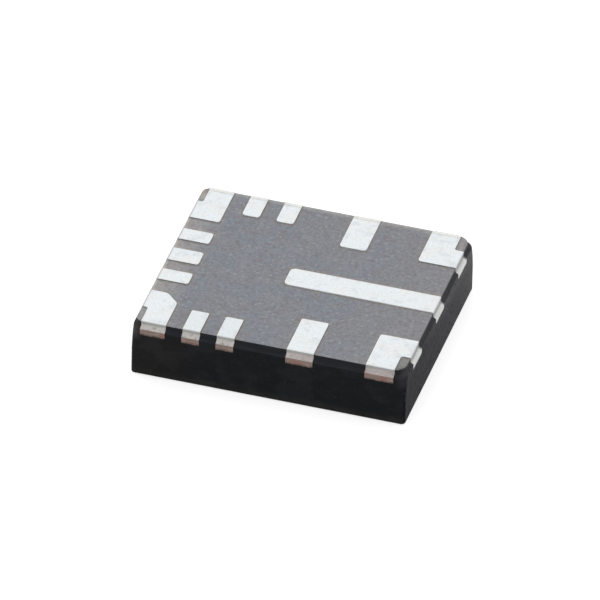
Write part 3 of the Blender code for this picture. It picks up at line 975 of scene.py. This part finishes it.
# %% Moulded face
def make_moulded_face():
    """The grey film skin round the pads."""
    material, tree, shader = new_finish("moulded_face", 0.62, 0.0, 0.45)
    clouds = patches(tree, 0.55, 0.5)
    colour = blend(tree, clouds, (0.211, 0.232, 0.264), (0.230, 0.237, 0.261))
    brown = patches(tree, 0.13, 0.30)
    colour = layer(tree, colour, brown, (0.233, 0.226, 0.250))
    colour = layer(tree, colour, beyond(tree, X, 0.4, 1.9), (0.252, 0.242, 0.254), 0.6)
    colour = layer(tree, colour, pad_halos(tree, 0.085), (0.290, 0.258, 0.226), 0.5)
    fringe = pad_halos(tree, 0.035, -0.020)
    colour = layer(tree, colour, fringe, (0.360, 0.270, 0.205), 0.26)
    # The left end and the back rim are paler with painted highlight, where the rim catches the light
    # from behind.
    pale = blend(tree, brown, (0.392, 0.362, 0.348), (0.345, 0.305, 0.312))
    pale = layer(tree, pale, beyond(tree, X, -1.90, -1.95), (0.530, 0.500, 0.470))
    colour = layer(tree, colour, beyond(tree, X, -1.35, -1.98), pale, 0.8)
    colour = layer(tree, colour, beyond(tree, Y, 1.56, 1.68), (0.400, 0.390, 0.375), 0.9)
    # The notch tones are partly painted light: lightest at the back left, darkest at the front
    # right.
    for centre, half_y, notch_tone in NOTCHES:
        notch = halo_at(tree, centre, (0.01, half_y), 0.075)
        colour = layer(tree, colour, notch, notch_tone)
    # Painted shade darkens the front right corner of the face.
    painted_corner_shade = halo_at(tree, (1.95, -1.65), (0.04, 0.04), 0.13)
    colour = layer(tree, colour, painted_corner_shade, (0.062, 0.058, 0.068), 0.9)
    # A thin line of painted shadow lies along each pad's front edge.
    painted_pad_shadow = pad_halos(tree, 0.038, 0.018)
    colour = layer(tree, colour, painted_pad_shadow, (0.140, 0.136, 0.142), 0.42)
    flecks = use_group(tree, flecks_group, Size=0.060, Share=0.22)
    colour = layer(tree, colour, flecks, (0.42, 0.43, 0.44), 0.28)
    pits = use_group(tree, flecks_group, Size=0.052, Share=0.14)
    colour = layer(tree, colour, pits, (0.11, 0.11, 0.13), 0.30)
    grain = use_group(tree, grain_group, Size=0.045, Spread=0.17)
    connect(tree, shader, colour, grain, brown, 0.58, 0.70)
    relief(tree, shader, grain, 2.5e-6)
    return material


moulded = make_moulded_face()
print("moulded face:", moulded.name)

# %% [markdown]
# The sawn sides are near black, with streaks along the cut. The front is a little greyer at
# its bottom and towards the left. The right end is lighter at its back and in its upper part
# with painted sheen, the step is greyer than the flank, and the two front corners are paler
# under the ledge.

# %% Sawn mould
FRONT_CORNERS = ((-2.05, (0.070, 0.064, 0.064)), (2.05, (0.036, 0.034, 0.040)))


def make_sawn_mould():
    """The compound where the saw went through: near black, greyer in the step."""
    material, tree, shader = new_finish("sawn_mould", 0.5, 0.0, 0.03)
    to_left = beyond(tree, X, -0.7, -1.9)
    front = blend(tree, to_left, (0.0138, 0.0150, 0.0168), (0.0195, 0.0186, 0.0186))
    front = layer(tree, front, beyond(tree, Z, 0.16, 0.02), (0.0310, 0.0305, 0.0285), 0.7)
    # Painted sheen makes the right end lighter towards its back and in its upper part.
    to_back = beyond(tree, Y, -1.0, 0.7)
    bar_end = blend(tree, to_back, (0.0040, 0.0036, 0.0080), (0.0165, 0.0154, 0.0210))
    bar_end = layer(tree, bar_end, beyond(tree, Y, 0.9, 1.7), (0.046, 0.043, 0.043))
    upper = calculate(tree, "MULTIPLY", beyond(tree, Z, 0.48, 0.68), beyond(tree, Y, -0.9, 0.6))
    bar_end = layer(tree, bar_end, upper, (0.070, 0.065, 0.068), 0.7)
    bar_end = layer(tree, bar_end, patches(tree, 0.10, 0.40), (0.0270, 0.0250, 0.0310), 0.5)
    colour = layer(tree, front, beyond(tree, X, 1.955, 1.990), bar_end)
    blotches = ramp(tree, patches(tree, 0.30, 0.40), 0.0, 1.0, 0.86, 1.15)
    colour = shade_by(tree, colour, blotches)
    at_bar_end = beyond(tree, X, 1.88, 1.93)
    step = blend(tree, at_bar_end, (0.026, 0.027, 0.031), (0.052, 0.053, 0.057))
    colour = layer(tree, colour, beyond(tree, Z, FOOT_Z - 0.030, FOOT_Z), step)
    for x, corner_tone in FRONT_CORNERS:
        corner = halo_at(tree, (x, -1.76), (0.05, 0.05), 0.20)
        under_ledge = beyond(tree, Z, FOOT_Z - 0.22, FOOT_Z - 0.06)
        pale_corner = calculate(tree, "MULTIPLY", corner, under_ledge)
        colour = layer(tree, colour, pale_corner, corner_tone)
    pits = use_group(tree, flecks_group, Size=0.060, Share=0.25)
    colour = layer(tree, colour, pits, (0.028, 0.026, 0.029), 0.4)
    streaks = use_group(tree, saw_group, Pitch=0.035, Spread=0.12)
    connect(tree, shader, colour, streaks, pits, 0.46, 0.62)
    grain = use_group(tree, grain_group, Size=0.040, Spread=0.5)
    relief(tree, shader, grain, 2.5e-6)
    return material


sawn_mould = make_sawn_mould()
print("sawn mould:", sawn_mould.name)

# %% [markdown]
# The die and its bumps can't be seen, but they are part of the chip, so they get plain
# finishes of their own: dark polished silicon, plated copper and satin solder.

# %% Hidden pieces
def make_hidden(name, ground, other, roughness, metallic, size):
    """A finish of two near colours in patches, with grain, for a piece inside the mould."""
    material, tree, shader = new_finish(name, roughness, metallic)
    mask = patches(tree, size, 0.4)
    colour = blend(tree, mask, ground, other)
    grain = use_group(tree, grain_group, Size=size / 5, Spread=0.08)
    connect(tree, shader, colour, grain, mask, roughness - 0.05, roughness + 0.08)
    relief(tree, shader, grain, 1.0e-6, 0.3)
    return material


silicon = make_hidden("die_silicon", (0.10, 0.11, 0.13), (0.12, 0.12, 0.13), 0.25, 0.3, 0.4)
pillar_copper = make_hidden("pillar_copper", (0.72, 0.36, 0.24), (0.62, 0.30, 0.20), 0.4, 1.0, 0.05)
cap_solder = make_hidden("cap_solder", (0.62, 0.63, 0.65), (0.54, 0.55, 0.57), 0.35, 1.0, 0.05)
print("hidden:", silicon.name, pillar_copper.name, cap_solder.name)

# %% [markdown]
# Each face then gets the finish that its place calls for. A lead's faces are copper on the
# sawn flank, step tin a little further in and below the pads, and tin elsewhere. The mould is
# grey on its face and sawn on all else. The hidden pieces are the solids of the frame.

# %% Put the finishes on
ON_FLANK, NEAR_FLANK = 0.02 * MM, 0.1 * MM
UNDER_LEDGE, UNDER_PAD_FACE = (FOOT_Z - 0.003) * MM, (PAD_Z - 0.008) * MM
ON_MOULD_FACE = (MOULD_Z - 0.006) * MM


def flank_reach(centre):
    """How far inside the nearer flank a point lies, in metres."""
    return min(BODY_X * MM - abs(centre.x), BODY_Y * MM - abs(centre.y))


for piece in lead_pieces:
    piece.data.materials.clear()
    for material in (tin, step_tin, copper):
        piece.data.materials.append(material)
    for face in piece.data.polygons:
        reach, height = flank_reach(face.center), face.center.z
        if reach < ON_FLANK and height < UNDER_LEDGE:
            face.material_index = 2
        elif reach < NEAR_FLANK and height < UNDER_PAD_FACE:
            face.material_index = 1
mould.data.materials.clear()
for material in (moulded, sawn_mould):
    mould.data.materials.append(material)
for face in mould.data.polygons:
    face.material_index = 0 if face.center.z > ON_MOULD_FACE else 1
for node in hidden:
    kind = {"silicon": silicon, "copper": pillar_copper, "solder": cap_solder}[node.split("_")[0]]
    frame["nodes"][node].material_slots[0].material = kind
print("finishes are on", len(lead_pieces) + 1, "pieces and", len(hidden), "hidden ones")

# %% [markdown]
# ## Floor and light
# The chip lies on white under an even sky. The rays that look at the surroundings see plain
# white, and the rays that gather light get a softer sky, so that the background stays white
# while the chip keeps its shades. The floor glows a little to those same rays, and keeps the
# chip's soft shadow. One soft box behind the chip on the left brightens the pads.

# %% White surroundings
WHITE = (1.0, 1.0, 1.0, 1.0)
SKY_STRENGTH = 0.75


def white_for_sight(tree):
    """One where a camera, mirror or glass ray looks, nought where light is gathered."""
    path = add_node(tree, "ShaderNodeLightPath").outputs
    looks = calculate(tree, "MAXIMUM", path["Is Camera Ray"], path["Is Glossy Ray"])
    return calculate(tree, "MAXIMUM", looks, path["Is Transmission Ray"])


world = bpy.data.worlds.new("studio")
bpy.context.scene.world = world
world.use_nodes = True
sky_tree = world.node_tree
sky = sky_tree.nodes["Background"]
sky.inputs["Color"].default_value = WHITE
sky.inputs["Strength"].default_value = SKY_STRENGTH
seen = add_node(sky_tree, "ShaderNodeBackground", {"Color": WHITE, "Strength": 1.0})
values = {0: white_for_sight(sky_tree), 1: sky.outputs[0], 2: seen.outputs[0]}
mix = add_node(sky_tree, "ShaderNodeMixShader", values)
sky_tree.links.new(mix.outputs[0], sky_tree.nodes["World Output"].inputs["Surface"])
print("sky strength:", SKY_STRENGTH)

# %% Floor
FLOOR_SIZE = 0.4
FLOOR_DROP = 0.00001
FLOOR_TONE = 0.80
FLOOR_GLOW = 0.60

rest_hands()
bpy.ops.mesh.primitive_plane_add(size=FLOOR_SIZE, location=(0.0, 0.0, -FLOOR_DROP))
floor = bpy.context.object
floor.name = "studio_floor"
floor_material, floor_tree, floor_shader = new_finish("floor_white", 0.9, 0.0, 0.0)
floor_shader.inputs["Base Color"].default_value = (FLOOR_TONE, FLOOR_TONE, FLOOR_TONE, 1.0)
floor_shader.inputs["Emission Color"].default_value = WHITE
glow = calculate(floor_tree, "MULTIPLY", white_for_sight(floor_tree), FLOOR_GLOW)
floor_tree.links.new(glow, floor_shader.inputs["Emission Strength"])
floor.data.materials.append(floor_material)
print("floor:", floor.name, FLOOR_SIZE, "m wide")

# %% Soft box
def soft_box(name, direction, distance, size, power):
    """A square lamp that faces the chip."""
    light = bpy.data.lights.new(name, "AREA")
    light.shape = "SQUARE"
    light.size = size
    light.energy = power
    lamp = bpy.data.objects.new(name, light)
    bpy.context.scene.collection.objects.link(lamp)
    place = Vector(direction).normalized() * distance
    lamp.location = place
    lamp.rotation_euler = place.to_track_quat("Z", "Y").to_euler()
    return lamp


lamp = soft_box(
    "back_soft_box", direction=(-0.45, 0.75, 0.9), distance=0.30, size=0.24, power=0.16
)
bpy.context.scene.view_settings.view_transform = "Standard"
print("lamp:", lamp.name, lamp.data.energy, "W")
